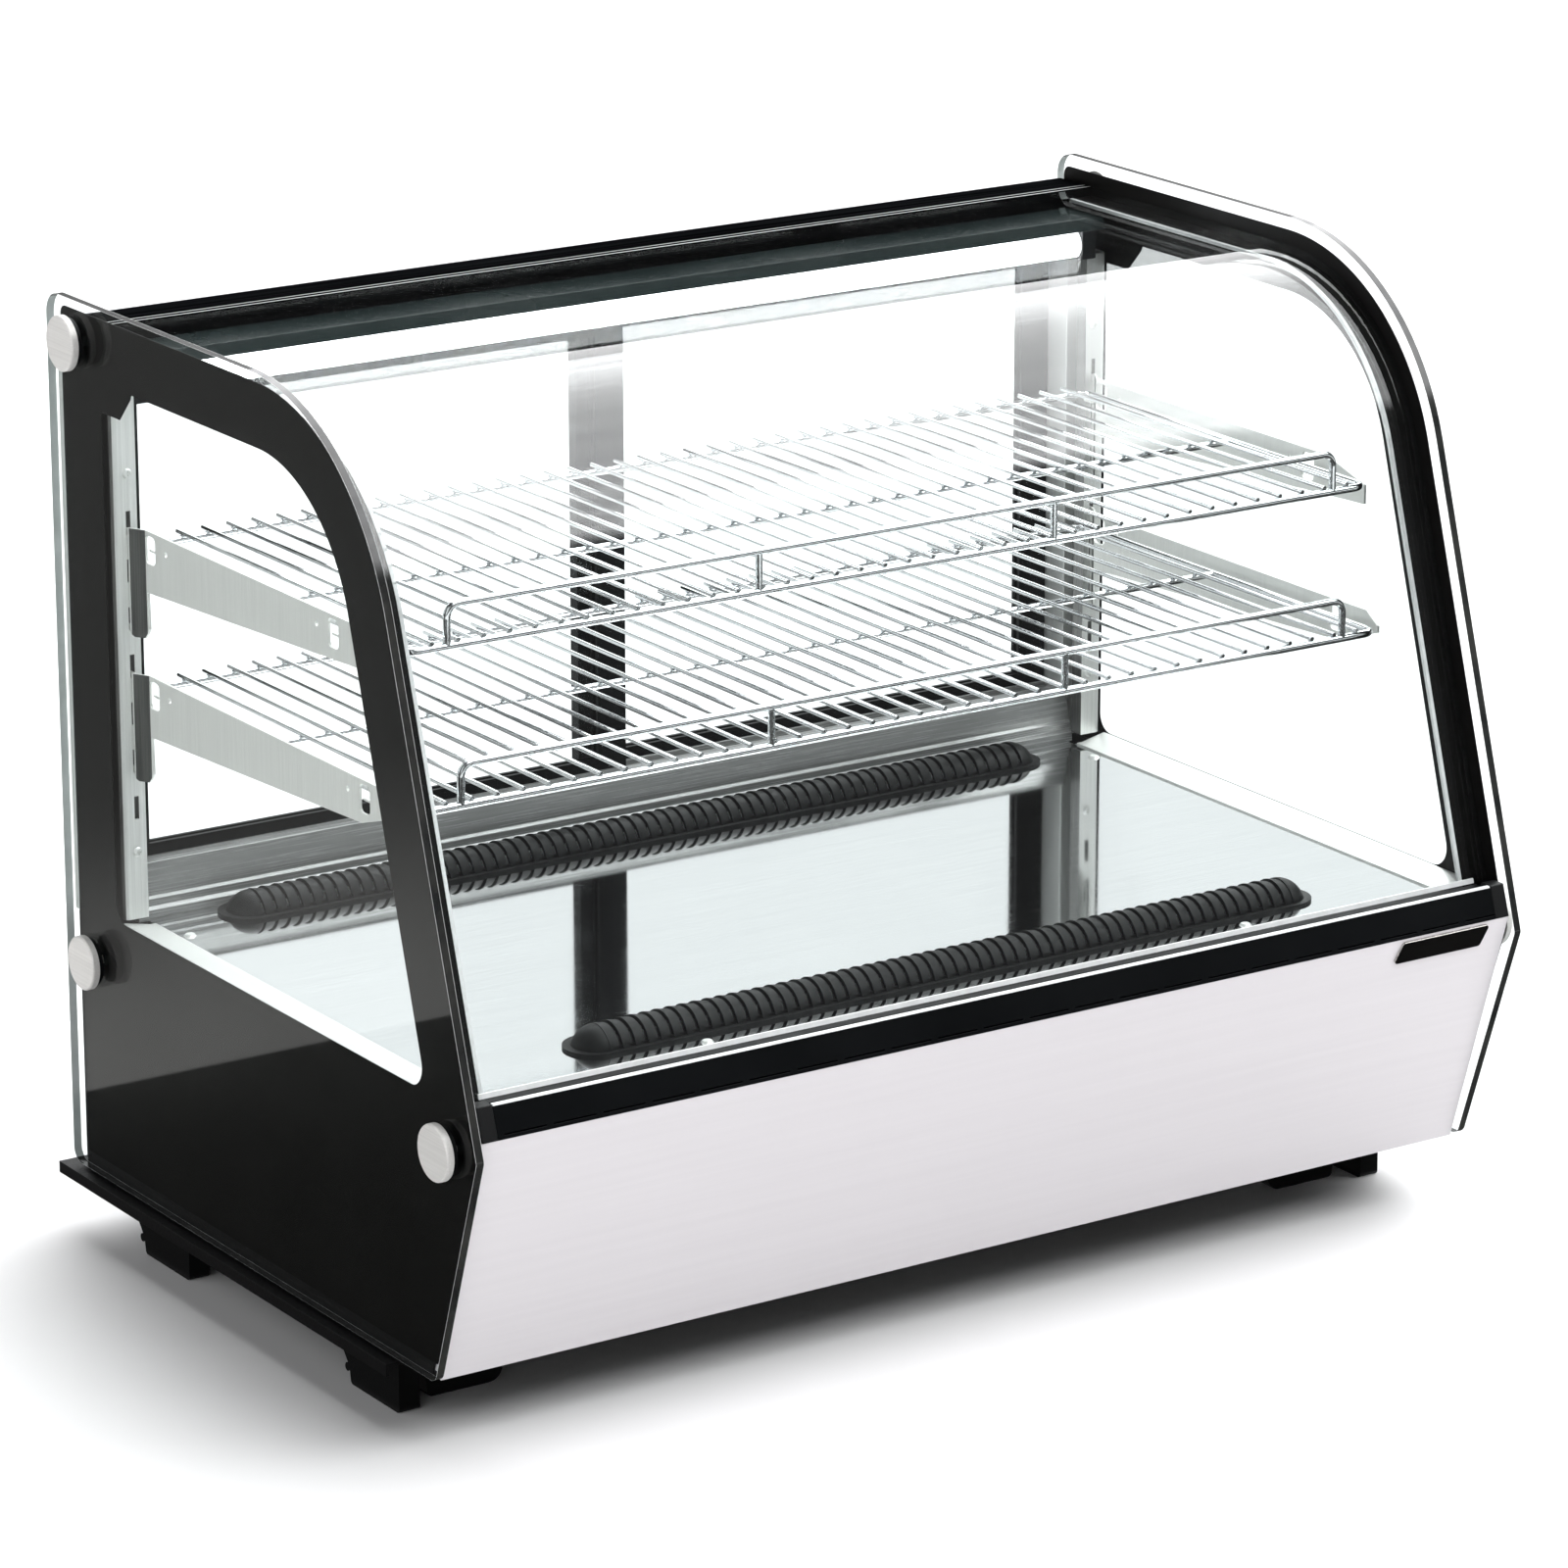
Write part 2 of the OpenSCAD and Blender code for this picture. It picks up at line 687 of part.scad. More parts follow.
module rear_panel() {
  color("#1f2224") difference() {
    box([-418, panel_y[0], pan_top + 1], [418, panel_y[1], 236]);
    for (z = [70:12:190]) for (x = [120, 270]) along_y_slot(x, z, 130, 5);
    box([control_at[0] - 35, 270, control_at[1] - 14], [control_at[0] + 35, 280,
      control_at[1] + 14]);
    for (s = switch_at) box([s[0] - 10, 270, s[1] - 14], [s[0] + 10, 280, s[1] + 14]);
    rod_y(-385, 270, 280, 85, 16);
    for (x = [-405, 405]) for (z = [62, 225]) rod_y(x, 270, 280, z, 4.2);
  }
}

module along_y_slot(x, z, length, width) {
  translate([x + length / 2 - 65, 0, z]) along_y(panel_y[0] - 1, panel_y[1] + 1)
    stadium(length, width);
}

module compressor() {
  color("#0f1011") translate([compressor_at[0], compressor_at[1], machine_z]) {
    translate([0, 0, 12]) cylinder(d = 122, h = 92);
    translate([0, 0, 104]) rotate_extrude() intersection() {
      translate([0, -30]) circle(r = 61.5, $fn = 96);
      polygon([[0, 0], [61, 0], [61, 40], [0, 40]]);
    }
    translate([0, 0, 56]) cylinder(d = 128, h = 5);
    box([-75, -55, 10], [75, 55, 13]);
    box([58, -24, 40], [78, 24, 84]);
    for (a = [130, 165]) rotate(a) translate([45, 0, 98]) cylinder(d = 7, h = 22);
  }
}

module compressor_mounts() {
  color("#1b1b1b") for (sx = [-1, 1]) for (sy = [-1, 1])
    translate([compressor_at[0] + sx * 66, compressor_at[1] + sy * 46, machine_z])
      cylinder(d = 16, h = 10);
}

module condenser_coil() {
  color("#33373a") {
    for (x = [160:6:340]) box([x, 222, 62], [x + 0.8, 256, 182]);
    for (y = [230, 248]) for (z = [75:19:170]) rod_x(150, 350, y, z, 8);
    for (x = [152, 346]) box([x, 222, pan_top], [x + 2, 256, 186]);
  }
}

module condenser_shroud() {
  color("#26292b") fan_frame(fan_at, 176, 221, 144, 134, 44);
}

module condenser_rotor() {
  color("#3a3f43") fan_rotor(fan_at, 176, 221, 134, 44);
}

module refrigerant_lines() {
  c = compressor_at;
  z_top = machine_z + 120;
  discharge = [c[0] + 45 * cos(130), c[1] + 45 * sin(130)];
  suction = [c[0] + 45 * cos(165), c[1] + 45 * sin(165)];
  color("#b5713f") {
    translate([discharge[0], discharge[1], z_top]) cylinder(d = 6, h = 8);
    translate([discharge[0], discharge[1], z_top + 8]) sphere(d = 6);
    rod_x(146, discharge[0], discharge[1], z_top + 8, 6);
    translate([146, discharge[1], z_top + 8]) sphere(d = 6);
    rod_y(146, discharge[1], 248, z_top + 8, 6);
    translate([146, 248, z_top + 8]) sphere(d = 6);
    translate([146, 248, 170]) cylinder(d = 6, h = z_top + 8 - 170);
    translate([suction[0], suction[1], z_top]) cylinder(d = 8, h = 183 - z_top);
    translate([suction[0], suction[1], 183]) sphere(d = 8);
    rod_x(104, suction[0], suction[1], 183, 8);
    translate([104, suction[1], 183]) sphere(d = 8);
    rod_y(104, suction[1], 95, 183, 8);
    translate([104, 95, 183]) sphere(d = 8);
    rod_x(48.05, 104, 95, 183, 8);
  }
}

module drip_tray() {
  color("#2a2d2f") difference() {
    box([-190, 60, machine_z], [10, 180, machine_z + 26]);
    box([-188, 62, machine_z + 2], [8, 178, machine_z + 30]);
  }
}

// ---------- controls ----------

module controller() {
  color("#0f1113") translate([control_at[0], 0, control_at[1]]) {
    difference() {
      union() {
        along_y(278, 282) slot_2d(78, 34, 4);
        along_y(222, 279) slot_2d(69, 27, 2);
      }
      box([-34, 281, -10], [6, 284, 11]);
      for (x = [14, 23, 32]) along_y(277.5, 283) translate([x, 0]) circle(d = 7);
    }
  }
}

module button(x) {
  color("#8d9398") translate([control_at[0] + x, 0, control_at[1]]) along_y(279.5, 283.3)
    circle(d = 6.85);
}

module button_set() {
  button(14);
}

module button_up() {
  button(23);
}

module button_down() {
  button(32);
}

module switch_frames() {
  color("#141617") for (s = switch_at) translate([s[0], 0, s[1]]) difference() {
    union() {
      along_y(278, 280) slot_2d(25, 33, 2);
      along_y(250, 279) slot_2d(19.4, 27.4, 1);
    }
    box([-7.5, 262, -12], [7.5, 284, 12]);
    rod_x(-9, 9, 277, 0, 2.1);
  }
}

// a rocker on trunnions, tipped to one side
module rocker(s, tone) {
  color(tone) translate([s[0], 277, s[1]]) rotate([8, 0, 0]) {
    along_x(-7, 7) polygon([[-6, -3], [-6, 3], [2, 10.6], [4.6, 10.6], [3.2, 0], [4.6, -10.6],
      [2, -10.6]]);
    rod_x(-8.4, 8.4, 0, 0, 2);
  }
}

module power_rocker() {
  rocker(switch_at[0], "#b3201c");
}

module light_rocker() {
  rocker(switch_at[1], "#1e7a3c");
}

module cable_gland() {
  color("#111213") translate([-385, 0, 85]) difference() {
    union() {
      rod_y(0, 262, 283.5, 0, 15.6);
      along_y(278, 282) circle(d = 24, $fn = 6);
      along_y(270, 276) circle(d = 24, $fn = 6);
    }
    rod_y(0, 260, 292, 0, 8.5);
  }
}

// ---------- screws ----------

module screw_y(x, y, z, d, reach, facing) {
  translate([x, y, z]) rotate([facing * -90, 0, 0]) difference() {
    union() {
      translate([0, 0, -reach]) cylinder(d = d, h = reach + eps);
      cylinder(d1 = d * 2.3, d2 = d * 1.7, h = 1.6);
    }
    for (a = [0, 90]) rotate(a) box([-d * 0.6, -0.4, 0.7], [d * 0.6, 0.4, 3]);
  }
}

module fastener_screws() {
  color("#c8cac9") {
    both_sides() for (z = [296, 567]) screw_y(slot_x, upright_y[0], z, 3.2, 5, -1);
    for (x = [-405, 405]) for (z = [62, 225]) screw_y(x, panel_y[1], z, 4, 8, 1);
    for (p = [[-388, 170], [388, 170], [-210, -216], [237, -216]])
      translate([p[0], p[1], deck_z]) cylinder(d1 = 9, d2 = 6.5, h = 1.4);
  }
}

base_pan();
corner_feet();
side_glass_left();
side_glass_right();
side_print_left();
side_print_right();
front_glass();
front_glass_border();
front_glass_seals();
glass_standoffs();
glass_caps();
front_profile();
profile_end_caps();
front_panel();
name_badge();
top_cover();
lamp_housing();
lamp_tube();
lamp_holders();
deck_plate();
side_ledges();
front_grille();
rear_grille();
upright_left();
upright_right();
bracket_upper_left();
bracket_upper_right();
bracket_lower_left();
bracket_lower_right();
shelf_upper();
shelf_lower();
insulated_tub();
evaporator_coil();
evaporator_fan_frame();
evaporator_rotor();
rear_post_left();
rear_post_right();
rear_sill();
door_top_track();
door_left_frame();
door_left_glass();
door_right_frame();
door_right_glass();
rear_panel();
compressor();
compressor_mounts();
condenser_coil();
condenser_shroud();
condenser_rotor();
controller();
button_set();
button_up();
button_down();
power_rocker();
light_rocker();
switch_frames();
refrigerant_lines();
drip_tray();
cable_gland();
fastener_screws();
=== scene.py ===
"""Looks of the bakery display case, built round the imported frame. Metres, +Z up, front towards -Y."""

import json
import math

import bpy
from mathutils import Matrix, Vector


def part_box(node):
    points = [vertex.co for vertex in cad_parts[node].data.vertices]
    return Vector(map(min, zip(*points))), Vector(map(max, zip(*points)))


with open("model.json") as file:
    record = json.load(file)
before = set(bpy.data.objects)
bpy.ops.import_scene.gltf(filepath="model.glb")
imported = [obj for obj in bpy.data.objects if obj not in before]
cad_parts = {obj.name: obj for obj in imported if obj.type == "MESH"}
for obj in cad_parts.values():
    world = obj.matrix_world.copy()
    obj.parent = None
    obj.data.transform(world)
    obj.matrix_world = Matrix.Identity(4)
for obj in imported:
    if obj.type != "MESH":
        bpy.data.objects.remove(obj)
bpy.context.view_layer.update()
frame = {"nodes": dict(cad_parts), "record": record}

CAMERA_AT = Vector((-2.4356, -3.6678, 1.6781))
CAMERA_LOOK = Vector((0.5280, 0.7971, -0.2930))
LENS_MM = 150.84
SENSOR_MM = 36.0


def link(obj):
    bpy.context.scene.collection.objects.link(obj)
    return obj


def make_camera():
    data = bpy.data.cameras.new("camera")
    data.lens = LENS_MM
    data.sensor_width = SENSOR_MM
    data.clip_end = 60
    cam = link(bpy.data.objects.new("camera", data))
    cam.location = CAMERA_AT
    cam.rotation_euler = CAMERA_LOOK.to_track_quat("-Z", "Y").to_euler()
    bpy.context.scene.camera = cam
    bpy.context.scene.view_settings.view_transform = "Standard"


make_camera()

# ---------- node graphs ----------


class Graph:
    """A shader tree with short calls for the nodes used here."""

    def __init__(self, tree, output):
        self.tree = tree
        self.tree.nodes.clear()
        self.out = self.add(output)

    def add(self, kind, **settings):
        made = self.tree.nodes.new(kind)
        for key, value in settings.items():
            setattr(made, key, value)
        return made

    def link(self, a, b):
        self.tree.links.new(a, b)

    def feed(self, socket, value):
        """Sets a socket to a number, or links it to another socket."""
        if isinstance(value, (int, float)):
            socket.default_value = value
        else:
            self.link(value, socket)

    def math(self, operation, *values):
        made = self.add("ShaderNodeMath", operation=operation)
        for spot, value in enumerate(values):
            self.feed(made.inputs[spot], value)
        return made.outputs["Value"]

    def smooth(self, value, start, end, low=0.0, high=1.0):
        """low up to start, high from end on, and a smooth step between them."""
        made = self.add("ShaderNodeMapRange", interpolation_type="SMOOTHSTEP")
        self.feed(made.inputs["Value"], value)
        made.inputs["From Min"].default_value = start
        made.inputs["From Max"].default_value = end
        made.inputs["To Min"].default_value = low
        made.inputs["To Max"].default_value = high
        return made.outputs["Result"]

    def band(self, value, low, high, soft):
        """1 between low and high, 0 outside, with soft ends."""
        rise = self.smooth(value, low - soft, low + soft)
        fall = self.smooth(value, high - soft, high + soft, 1.0, 0.0)
        return self.math("MULTIPLY", rise, fall)

    def axes(self, output):
        """The x, y and z of the texture coordinates with that name."""
        coords = self.add("ShaderNodeTexCoord")
        split = self.add("ShaderNodeSeparateXYZ")
        self.link(coords.outputs[output], split.inputs["Vector"])
        return [split.outputs[axis] for axis in "XYZ"]

    def position(self, scale=(1, 1, 1)):
        """Object coordinates in metres, stretched by scale."""
        coords = self.add("ShaderNodeTexCoord")
        mapping = self.add("ShaderNodeMapping")
        mapping.inputs["Scale"].default_value = scale
        self.link(coords.outputs["Object"], mapping.inputs["Vector"])
        return mapping.outputs["Vector"]

    def noise(self, scale, detail=3.0, rough=0.5, stretch=(1, 1, 1)):
        made = self.add("ShaderNodeTexNoise")
        made.inputs["Scale"].default_value = scale
        made.inputs["Detail"].default_value = detail
        made.inputs["Roughness"].default_value = rough
        self.link(self.position(stretch), made.inputs["Vector"])
        return made.outputs["Fac"]

    def ramp(self, fac, low, high, start=0.35, end=0.65):
        """low at start, high at end. Both are colours or both are numbers."""
        made = self.add("ShaderNodeValToRGB")
        for spot, place, value in ((0, start, low), (1, end, high)):
            made.color_ramp.elements[spot].position = place
            made.color_ramp.elements[spot].color = (
                (value, value, value, 1) if isinstance(value, float) else (*value, 1)
            )
        self.link(fac, made.inputs["Fac"])
        return made.outputs["Color"]

    def shader(self, **sockets):
        made = self.add("ShaderNodeBsdfPrincipled")
        for key, value in sockets.items():
            made.inputs[key.replace("_", " ")].default_value = value
        return made

    def bump(self, height, strength, distance, onto):
        made = self.add("ShaderNodeBump")
        made.inputs["Strength"].default_value = strength
        made.inputs["Distance"].default_value = distance
        self.link(height, made.inputs["Height"])
        self.link(made.outputs["Normal"], onto.inputs["Normal"])

    def mix(self, fac, first, second):
        made = self.add("ShaderNodeMixShader")
        self.feed(made.inputs["Fac"], fac)
        self.link(first, made.inputs[1])
        self.link(second, made.inputs[2])
        return made.outputs["Shader"]

    def emission(self, tint, strength):
        made = self.add("ShaderNodeEmission")
        made.inputs["Color"].default_value = (*tint, 1)
        self.feed(made.inputs["Strength"], strength)
        return made.outputs["Emission"]

    def surface(self, socket):
        self.link(socket, self.out.inputs["Surface"])


def new_material(name):
    mat = bpy.data.materials.new(name)
    mat.use_nodes = True
    return mat, Graph(mat.node_tree, "ShaderNodeOutputMaterial")


# ---------- materials ----------


CLEAR_TINT = (0.972, 0.985, 0.982, 1)
HEAD_ON_MIRROR = 0.04
SCHLICK_POWER = 5.0


def clear_glass(name, mirror):
    """Thin clear glass: light goes straight through, and mirror scales Schlick's reflection."""
    mat, g = new_material(name)
    clear = g.add("ShaderNodeBsdfTransparent")
    clear.inputs["Color"].default_value = CLEAR_TINT
    gloss = g.add("ShaderNodeBsdfGlossy")
    g.link(g.ramp(g.noise(3.0, 3.0, 0.55), 0.01, 0.04), gloss.inputs["Roughness"])
    weight = g.add("ShaderNodeLayerWeight")
    weight.inputs["Blend"].default_value = 0.5
    slant = g.math("POWER", weight.outputs["Facing"], SCHLICK_POWER)
    share = g.math("MULTIPLY_ADD", slant, (1 - HEAD_ON_MIRROR) * mirror, HEAD_ON_MIRROR * mirror)
    g.surface(g.mix(share, clear.outputs["BSDF"], gloss.outputs["BSDF"]))
    return mat


# painted highlight on glass edges: it fades in between these shares of the sheet's half width
PAINTED_HIGHLIGHT_FROM, PAINTED_HIGHLIGHT_TO = 0.90, 0.98


def polished_edge(name, middle, half_width):
    """The polished edge of a glass sheet: dark, with a painted highlight along each side, where a
    rounded corner would catch the light.
    middle is the distance of the sheet's middle from x = 0."""
    mat, g = new_material(name)
    x = g.axes("Object")[0]
    off = g.math("ABSOLUTE", g.math("SUBTRACT", g.math("ABSOLUTE", x), middle))
    arris_highlight = g.smooth(off, half_width * PAINTED_HIGHLIGHT_FROM, half_width * PAINTED_HIGHLIGHT_TO)
    cloud = g.noise(25.0, 3.0, 0.6)
    dark = g.shader(IOR=1.5, Roughness=0.12)
    g.link(g.ramp(cloud, (0.010, 0.011, 0.011), (0.030, 0.030, 0.028)), dark.inputs["Base Color"])
    # painted highlight: a light band along each side of the edge face
    light = g.shader(IOR=1.5, Roughness=0.25)
    g.link(g.ramp(cloud, (0.62, 0.64, 0.64), (0.80, 0.82, 0.82)), light.inputs["Base Color"])
    g.surface(g.mix(arris_highlight, dark.outputs["BSDF"], light.outputs["BSDF"]))
    return mat


BUMP_DEPTH = 0.0004


def plain(name, low, high, rough, scale=60.0, metal=0.0, bump=0.0, stretch=(1, 1, 1), **more):
    """A principled surface whose colour and roughness vary a little with a noise."""
    mat, g = new_material(name)
    bsdf = g.shader(Metallic=metal, **more)
    cloud = g.noise(scale, 4.0, 0.6, stretch)
    g.link(g.ramp(cloud, low, high), bsdf.inputs["Base Color"])
    g.link(g.ramp(cloud, rough[0], rough[1]), bsdf.inputs["Roughness"])
    if bump:
        g.bump(cloud, bump, BUMP_DEPTH, bsdf)
    g.surface(bsdf.outputs["BSDF"])
    return mat


def grained(name, tone, rough, scale, bump, **more):
    """Moulded plastic: a fine grain in the surface and a slow drift of tone."""
    low = tuple(c * 0.8 for c in tone)
    high = tuple(c * 1.25 for c in tone)
    return plain(name, low, high, rough, scale, 0.0, bump, **more)


SCRATCH_SCALE = 6.0
ALONG_SCRATCH, ACROSS_SCRATCH = 2.0, 160.0


def brushed(name, low, high, rough, along, bump=0.01, metal=1.0):
    """Metal with fine scratches that run along one axis. Less metal gives it a satin look."""
    stretch = tuple(ALONG_SCRATCH if axis == along else ACROSS_SCRATCH for axis in "xyz")
    return plain(name, low, high, rough, SCRATCH_SCALE, metal, bump, stretch)


def lined_cover(name, highlight_lines_mm):
    """The black top cover: gloss black, with fine painted highlight stripes that run along X."""
    mat, g = new_material(name)
    y = g.math("MULTIPLY", g.axes("Object")[1], 1000.0)
    cloud = g.noise(5.0, 4.0, 0.6, (1, 40, 40))
    dark = g.shader(Specular_IOR_Level=0.0)
    g.link(g.ramp(cloud, (0.0010, 0.0012, 0.0014), (0.0045, 0.0050, 0.0055)),
           dark.inputs["Base Color"])
    g.link(g.ramp(cloud, 0.16, 0.24), dark.inputs["Roughness"])
    light = g.shader(Roughness=0.3)
    g.link(g.ramp(cloud, (0.45, 0.46, 0.46), (0.75, 0.77, 0.77)), light.inputs["Base Color"])
    painted_highlights = 0.0
    for low, high in highlight_lines_mm:
        painted_highlights = g.math("ADD", painted_highlights, g.band(y, low, high, 0.2))
    g.surface(g.mix(painted_highlights, dark.outputs["BSDF"], light.outputs["BSDF"]))
    return mat


MAKERS = {
    "print_black": lambda n: plain(n, (0.0038, 0.0036, 0.0034), (0.0050, 0.0047, 0.0045),
                                   (0.35, 0.45), 8.0, Specular_IOR_Level=0.1),
    "seal_white": lambda n: plain(n, (0.74, 0.76, 0.76), (0.84, 0.86, 0.86), (0.3, 0.45), 90.0),
    "satin_caps": lambda n: brushed(n, (0.66, 0.648, 0.626), (0.75, 0.738, 0.715), (0.34, 0.44),
                                    "y", metal=0.25),
    "black_moulding": lambda n: grained(n, (0.0022, 0.0026, 0.0030), (0.42, 0.55), 900.0, 0.15,
                                        Specular_IOR_Level=0.25),
    "black_aluminium": lambda n: plain(n, (0.0010, 0.0014, 0.0018), (0.0022, 0.0028, 0.0034),
                                       (0.32, 0.40), 5.0, 0.0, 0.0, Specular_IOR_Level=0.1),
    "white_panel": lambda n: plain(n, (0.66, 0.635, 0.655), (0.68, 0.655, 0.675), (0.34, 0.42),
                                   3.0, 0.0, 0.01, (1, 60, 60)),
    "black_steel": lambda n: grained(n, (0.004, 0.004, 0.0045), (0.38, 0.5), 500.0, 0.10,
                                     Specular_IOR_Level=0.3),
    "housing_white": lambda n: plain(n, (0.70, 0.71, 0.71), (0.80, 0.81, 0.81), (0.3, 0.42), 80.0),
    "polished_deck": lambda n: brushed(n, (0.84, 0.85, 0.855), (0.90, 0.905, 0.91), (0.03, 0.08),
                                       "x"),
    "stainless": lambda n: brushed(n, (0.80, 0.81, 0.79), (0.92, 0.93, 0.91), (0.34, 0.46), "z",
                                   metal=0.6),
    "wire_chrome": lambda n: plain(n, (0.70, 0.72, 0.73), (0.80, 0.81, 0.82), (0.06, 0.14),
                                   200.0, 1.0),
    "tub_liner": lambda n: plain(n, (0.66, 0.68, 0.68), (0.72, 0.74, 0.74), (0.4, 0.55), 70.0),
    "coil_fins": lambda n: brushed(n, (0.45, 0.47, 0.49), (0.6, 0.62, 0.64), (0.3, 0.45), "z",
                                    0.03),
    "fan_black": lambda n: grained(n, (0.015, 0.016, 0.018), (0.4, 0.55), 500.0, 0.15),
    "copper": lambda n: plain(n, (0.55, 0.22, 0.10), (0.72, 0.33, 0.17), (0.22, 0.4), 60.0, 1.0),
    "rubber": lambda n: grained(n, (0.010, 0.010, 0.010), (0.6, 0.8), 300.0, 0.2),
    "shell_black": lambda n: plain(n, (0.004, 0.004, 0.005), (0.008, 0.008, 0.009), (0.12, 0.25),
                                   40.0),
    "button_grey": lambda n: grained(n, (0.25, 0.27, 0.29), (0.35, 0.5), 600.0, 0.1),
    "rocker_red": lambda n: plain(n, (0.42, 0.012, 0.008), (0.5, 0.02, 0.012), (0.15, 0.28), 300.0),
    "rocker_green": lambda n: plain(n, (0.01, 0.19, 0.05), (0.015, 0.24, 0.07), (0.15, 0.28),
                                    300.0),
    "sill_steel": lambda n: brushed(n, (0.34, 0.345, 0.34), (0.42, 0.425, 0.42), (0.2, 0.3), "x",
                                    metal=0.4),
}


LAMP_STRENGTH = 9.0


def lamp_material():
    mat, g = new_material("lamp_white")
    bsdf = g.shader(Roughness=0.4)
    glow = g.noise(12.0, 2.0, 0.5, (6, 1, 1))
    g.link(g.ramp(glow, (0.93, 0.96, 1.0), (1.0, 1.0, 1.0)), bsdf.inputs["Emission Color"])
    g.link(g.ramp(glow, (0.85, 0.87, 0.88), (0.92, 0.93, 0.94)), bsdf.inputs["Base Color"])
    bsdf.inputs["Emission Strength"].default_value = LAMP_STRENGTH
    g.surface(bsdf.outputs["BSDF"])
    return mat


SIDE_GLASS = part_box("side_glass_right")
SHEET_HALF = (SIDE_GLASS[1].x - SIDE_GLASS[0].x) / 2
SHEET_MIDDLE = (SIDE_GLASS[1].x + SIDE_GLASS[0].x) / 2

MATS = {name: make(name) for name, make in MAKERS.items()}
MATS["lamp_white"] = lamp_material()
MATS["clear_glass"] = clear_glass("clear_glass", 0.55)
FRONT_GLASS_MAT = clear_glass("front_clear_glass", 1.15)
EDGE_MAT = polished_edge("glass_edge", SHEET_MIDDLE, SHEET_HALF)
REAR_EDGE_MAT = plain("glass_rear_edge", (0.50, 0.55, 0.54), (0.62, 0.67, 0.66), (0.15, 0.25), 30.0)
# painted highlight stripes on the top cover, given in mm along Y
COVER_MAT = lined_cover("cover_black", ((270.3, 271.1), (238.6, 239.5), (232.2, 233.3)))
SHADE_MAT = plain("housing_shade", (0.030, 0.045, 0.046), (0.045, 0.062, 0.062), (0.2, 0.3), 6.0,
                  Specular_IOR_Level=0.4)
BRACKET_MAT = brushed("bracket_steel", (0.74, 0.745, 0.72), (0.82, 0.825, 0.80), (0.34, 0.46), "z",
                      metal=0.4)
# painted shade: a darker copy of the bracket steel, for the brackets' slanted heel faces
HEEL_SHADE_MAT = brushed("heel_shadow", (0.13, 0.135, 0.13), (0.18, 0.185, 0.18), (0.34, 0.44), "z")
# painted shade: a darker copy of the upright steel, for the uprights' sides that face along X
UPRIGHT_SIDE_SHADE_MAT = brushed("upright_side_painted_shade", (0.17, 0.17, 0.17), (0.30, 0.30, 0.29), (0.3, 0.4), "z")
BADGE_EDGE_MAT = plain("badge_edge", (0.45, 0.44, 0.42), (0.6, 0.58, 0.55), (0.2, 0.3), 200.0, 1.0)

# ---------- the CAD nodes ----------

BEVELS_MM = {
    "base_pan": 0.5, "corner_feet": 0.9, "front_profile": 0.3, "profile_end_caps": 0.8,
    "front_panel": 0.35, "top_cover": 0.35, "lamp_housing": 0.5, "lamp_holders": 0.8,
    "side_ledges": 0.25, "rear_sill": 0.5, "door_top_track": 0.4, "door_left_frame": 0.7,
    "door_right_frame": 0.7, "rear_post_left": 0.6, "rear_post_right": 0.6, "name_badge": 0.4,
    "drip_tray": 0.5, "deck_plate": 0.3, "upright_left": 0.3, "upright_right": 0.3,
    "bracket_upper_left": 0.3, "bracket_upper_right": 0.3, "bracket_lower_left": 0.3,
    "bracket_lower_right": 0.3, "glass_caps": 0.4, "controller": 0.5, "switch_frames": 0.4,
}


MERGE_WITHIN = 0.00001
FLAT_WITHIN = math.radians(0.5)
SHARP_FROM = math.radians(32)


def soften(obj, width_mm):
    """Rounds the sharp edges of a CAD node with modifiers, so that they catch the light."""
    weld = obj.modifiers.new("weld", "WELD")
    weld.merge_threshold = MERGE_WITHIN
    flat = obj.modifiers.new("flat", "DECIMATE")
    flat.decimate_type = "DISSOLVE"
    flat.angle_limit = FLAT_WITHIN
    bevel = obj.modifiers.new("bevel", "BEVEL")
    bevel.width = width_mm / 1000
    bevel.segments = 2
    bevel.limit_method = "ANGLE"
    bevel.angle_limit = SHARP_FROM
    bevel.use_clamp_overlap = True
    shade = obj.modifiers.new("shade", "WEIGHTED_NORMAL")
    shade.keep_sharp = False


def dress_faces(obj, mat, chosen):
    """Gives the faces that chosen picks a second material."""
    obj.data.materials.append(mat)
    for face in obj.data.polygons:
        if chosen(face.normal):
            face.material_index = len(obj.data.materials) - 1


def dress_cad():
    """Gives every CAD node its slot's material and soft edges."""
    slots = {part["node"]: part["material_slot"] for part in frame["record"]["subparts"]}
    for name, obj in frame["nodes"].items():
        obj.data.materials.clear()
        obj.data.materials.append(MATS[slots[name]])
        for face in obj.data.polygons:
            face.material_index = 0
        if name in BEVELS_MM:
            soften(obj, BEVELS_MM[name])
    nodes = frame["nodes"]
    for side in ("left", "right"):
        dress_faces(nodes["side_glass_" + side], EDGE_MAT, lambda n: abs(n.x) < 0.5)
        dress_faces(nodes["side_glass_" + side], REAR_EDGE_MAT, lambda n: n.y > 0.7)
        # the uprights' sides get the painted shade
        dress_faces(nodes["upright_" + side], UPRIGHT_SIDE_SHADE_MAT, lambda n: abs(n.x) > 0.7)
        for level in ("upper", "lower"):
            bracket = nodes["bracket_" + level + "_" + side]
            bracket.data.materials[0] = BRACKET_MAT
            # the heel faces of the brackets get the painted shade
            dress_faces(bracket, HEEL_SHADE_MAT, lambda n: abs(n.x) > 0.3 and 0.3 < abs(n.y) < 0.85)
    nodes["top_cover"].data.materials[0] = COVER_MAT
    dress_faces(nodes["lamp_housing"], SHADE_MAT, lambda n: n.z > 0.3)
    nodes["front_glass"].data.materials[0] = FRONT_GLASS_MAT
    dress_faces(nodes["name_badge"], BADGE_EDGE_MAT, lambda n: n.y > -0.8)


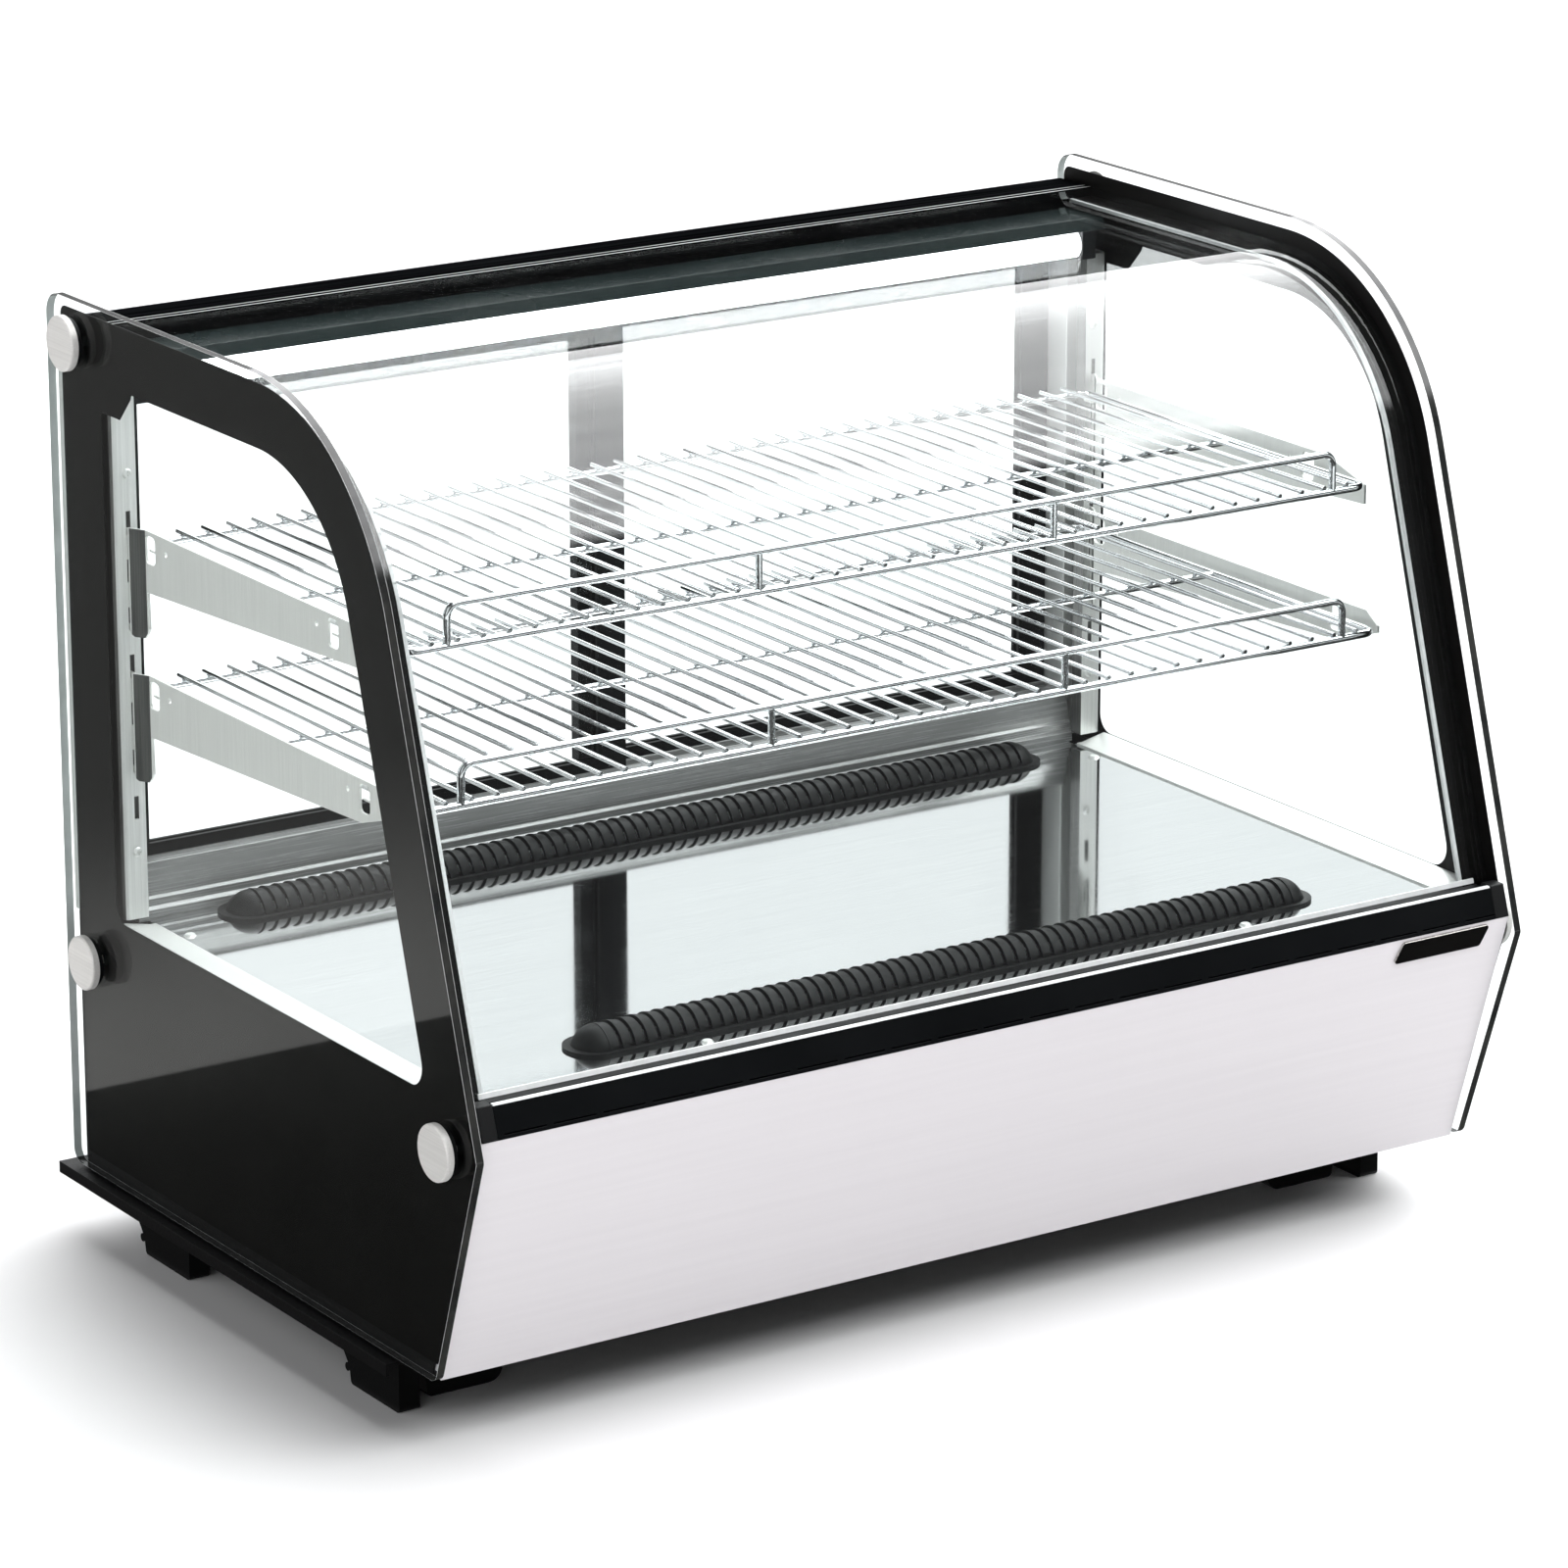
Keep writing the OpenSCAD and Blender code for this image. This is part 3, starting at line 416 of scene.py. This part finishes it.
dress_cad()

# ---------- stage ----------

FLOOR_HALF = 14.0
TABLE_EDGE_Y = 0.52
TABLE_EDGE_SOFT = 0.004
TABLE_GLOW = 0.05
SWEEP_DEPTH = 0.7
SWEEP_NEAR, SWEEP_FAR = 0.95, 0.17
CARD_Z = 0.003


def quad(name, corners, mat):
    """A four-cornered sheet of the studio, which isn't part of the case."""
    mesh = bpy.data.meshes.new(name)
    mesh.from_pydata(corners, [], [(0, 1, 2, 3)])
    obj = link(bpy.data.objects.new(name, mesh))
    obj.data.materials.append(mat)
    return obj


def level_sheet(name, low, high, z, mat):
    """A quad that lies at height z, from the corner low to the corner high."""
    (x0, y0), (x1, y1) = low, high
    return quad(name, [(x0, y0, z), (x1, y0, z), (x1, y1, z), (x0, y1, z)], mat)


def only_reflected(obj):
    """A studio card that shows in reflections and nowhere else."""
    obj.visible_camera = False
    obj.visible_diffuse = False
    obj.visible_transmission = False
    obj.visible_shadow = False


def table_card_material():
    """Dark table up to its rear edge, then a white sweep that falls off."""
    mat, g = new_material("table_card")
    y = g.axes("Object")[1]
    past_edge = g.smooth(y, TABLE_EDGE_Y - TABLE_EDGE_SOFT, TABLE_EDGE_Y + TABLE_EDGE_SOFT)
    fade = g.smooth(y, TABLE_EDGE_Y, TABLE_EDGE_Y + SWEEP_DEPTH, SWEEP_NEAR, SWEEP_FAR)
    strength = g.math("ADD", g.math("MULTIPLY", past_edge, fade), TABLE_GLOW)
    g.surface(g.emission((1.0, 0.985, 0.965), strength))
    return mat


def make_floor():
    floor_mat = plain("floor_white", (0.80, 0.80, 0.80), (0.82, 0.82, 0.82), (0.7, 0.8), 2.0,
                      Specular_IOR_Level=0.1)
    level_sheet("floor", (-FLOOR_HALF, -FLOOR_HALF), (FLOOR_HALF, FLOOR_HALF), 0.0, floor_mat)
    only_reflected(level_sheet("table_card", (-4.0, -2.0), (3.0, 5.0), CARD_Z,
                               table_card_material()))


def rear_card_material():
    mat, g = new_material("rear_card")
    g.surface(g.emission((0.97, 0.985, 1.0), 1.15))
    return mat


def make_rear_card():
    """A white card behind the case, which the polished deck mirrors."""
    x0, x1, y, z0, z1 = -0.43, 1.6, 0.50, 0.01, 0.60
    corners = [(x0, y, z0), (x1, y, z0), (x1, y, z1), (x0, y, z1)]
    only_reflected(quad("rear_card", corners, rear_card_material()))


BOX_STRENGTH = 5.2
FAR_SHARE = 0.62
LEFT_STRENGTH = 1.1
FRONT_STRENGTH = 0.12
ROOM_STRENGTH = 0.006


def make_world():
    """A dark studio under one large softbox overhead, with dimmer ones at the left and front."""
    world = bpy.data.worlds.new("studio")
    bpy.context.scene.world = world
    world.use_nodes = True
    g = Graph(world.node_tree, "ShaderNodeOutputWorld")
    x, y, z = g.axes("Generated")
    # where each direction meets a ceiling 1 m up
    height = g.math("MAXIMUM", z, 0.02)
    across = g.math("DIVIDE", x, height)
    along = g.math("DIVIDE", y, height)
    near = g.math("MULTIPLY", g.band(across, 0.0, 1.7, 0.25), g.band(along, -1.25, 1.75, 0.22))
    far = g.math("MULTIPLY", g.band(across, 0.9, 3.2, 0.3), g.band(along, 1.5, 3.45, 0.1))
    box = g.math("MAXIMUM", near, g.math("MULTIPLY", far, FAR_SHARE))
    box = g.math("MULTIPLY", box, g.smooth(z, 0.03, 0.08))
    streaks = g.add("ShaderNodeTexNoise")
    streaks.inputs["Scale"].default_value = 1.0
    streaks.inputs["Detail"].default_value = 3.0
    place = g.add("ShaderNodeCombineXYZ")
    g.link(g.math("MULTIPLY", across, 0.8), place.inputs["X"])
    g.link(g.math("MULTIPLY", along, 7.0), place.inputs["Y"])
    g.link(place.outputs["Vector"], streaks.inputs["Vector"])
    uneven = g.smooth(streaks.outputs["Fac"], 0.3, 0.7, 0.86, 1.12)
    box = g.math("MULTIPLY", box, uneven)
    left = g.math("MULTIPLY", g.smooth(x, -0.2, -0.75), g.band(z, 0.1, 0.75, 0.12))
    light = g.math("MULTIPLY_ADD", box, BOX_STRENGTH, ROOM_STRENGTH)
    light = g.math("MULTIPLY_ADD", left, LEFT_STRENGTH, light)
    front = g.math("MULTIPLY", g.smooth(y, -0.15, -0.5), g.smooth(z, 0.02, 0.2))
    light = g.math("MULTIPLY_ADD", front, FRONT_STRENGTH, light)
    background = g.add("ShaderNodeBackground")
    background.inputs["Color"].default_value = (0.985, 0.99, 1.0, 1)
    g.link(light, background.inputs["Strength"])
    g.surface(background.outputs["Background"])


make_floor()
make_rear_card()
make_world()
